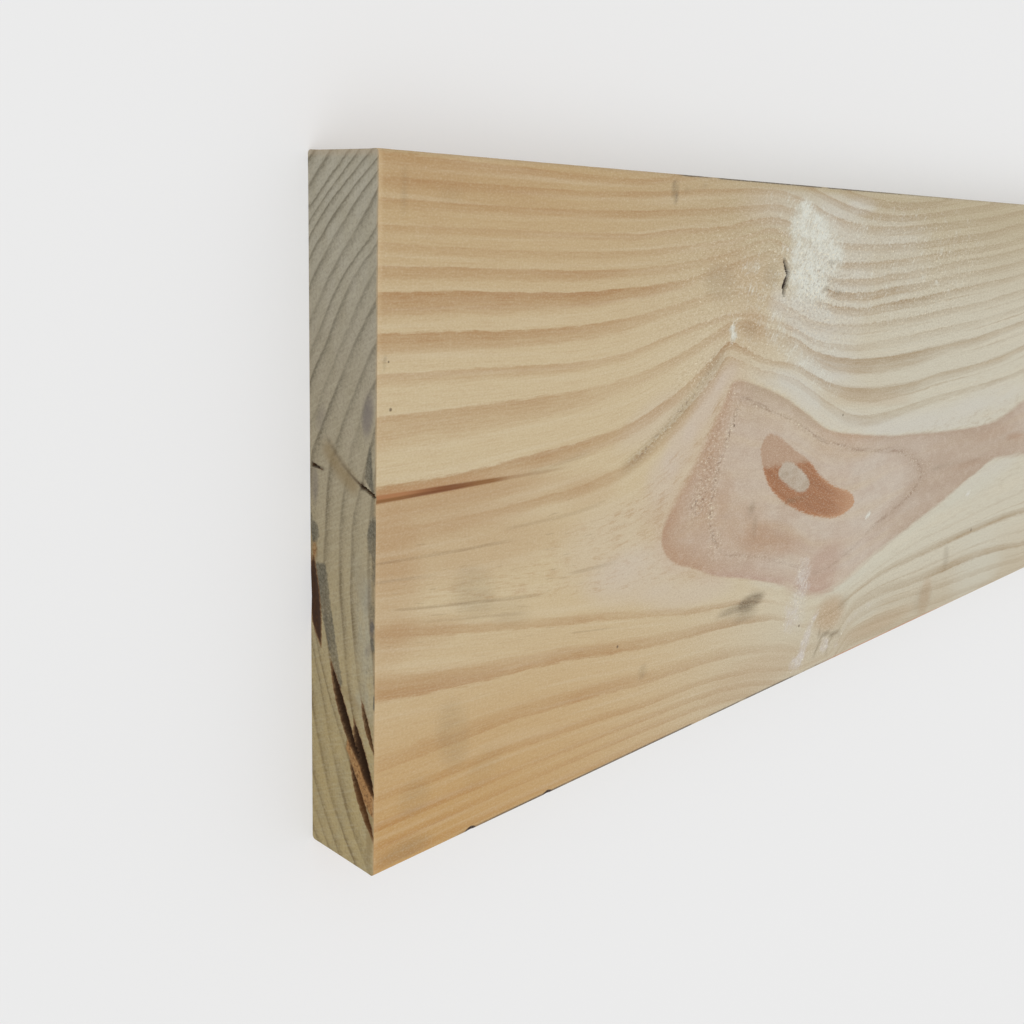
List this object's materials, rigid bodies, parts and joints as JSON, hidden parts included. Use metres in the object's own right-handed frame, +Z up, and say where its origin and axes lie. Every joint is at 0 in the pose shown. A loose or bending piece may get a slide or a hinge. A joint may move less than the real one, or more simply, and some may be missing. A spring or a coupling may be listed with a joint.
{
  "type": "timber plank",
  "caption": "Sawn pine plank with lightly eased long edges, square-cut ends, a knot in its wide face and open resin pockets in its end grain, used flat as a board or on edge as a joist.",
  "frame": {"origin": "middle of the underside, where the plank lies on a level floor", "axes": "+X along the grain, away from the end with the open resin pockets; +Y across the width; +Z up, out of the knot face"},
  "size_m": [2.4, 0.24, 0.035],
  "materials": {
    "pine": "dressed softwood, bare, grey-green on the sawn end"
  },
  "bodies": {
    "root": {"plank": "pine"}
  },
  "joints": []
}
